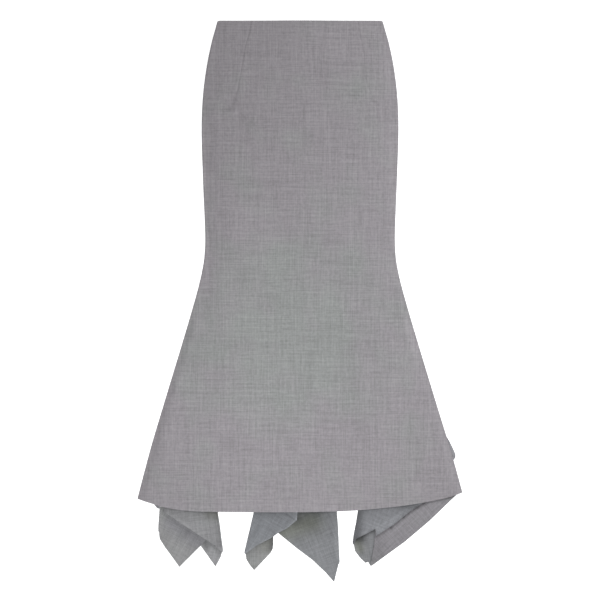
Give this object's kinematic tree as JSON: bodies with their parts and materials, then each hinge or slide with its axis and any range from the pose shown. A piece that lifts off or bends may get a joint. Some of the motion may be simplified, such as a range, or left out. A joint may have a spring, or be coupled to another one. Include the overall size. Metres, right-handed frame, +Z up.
{
  "type": "skirt",
  "caption": "Fitted trumpet midi skirt in grey wool suiting, laid flat, with a darted front, a gored back and folded godets that hang in points below the front hem.",
  "frame": {"origin": "centre of the skirt's outline seen from above, on the surface that it lies on", "axes": "+Y from the hem towards the waist, +Z up from the surface out of the front of the skirt, +X towards the right of the skirt seen from above"},
  "size_m": [0.601, 1.038, 0.0064],
  "materials": {
    "wool_face": "matt grey wool suiting, two-tone fine weave",
    "wool_back": "matt grey wool suiting, two-tone fine weave",
    "wool_godet": "matt grey wool suiting, mostly its slightly darker and greener inner side",
    "zip_metal": "plain nickel plated zinc"
  },
  "bodies": {
    "garment": {"front_panel": "wool_face", "back_side_left": "wool_back", "back_centre_left": "wool_back", "back_centre_right": "wool_back", "back_side_right": "wool_back", "godet_left": "wool_godet", "godet_centre": "wool_godet", "godet_right": "wool_godet", "zip_slider": "zip_metal"},
    "zip_pull": {"zip_pull": "zip_metal"}
  },
  "joints": [
    {"name": "zip_pull_hinge", "type": "hinge", "parent": "garment", "child": "zip_pull", "pos_m": [0.00027, 0.51201, 0.0008], "axis": [1, 0, 0], "range_deg": [0, 170]}
  ]
}
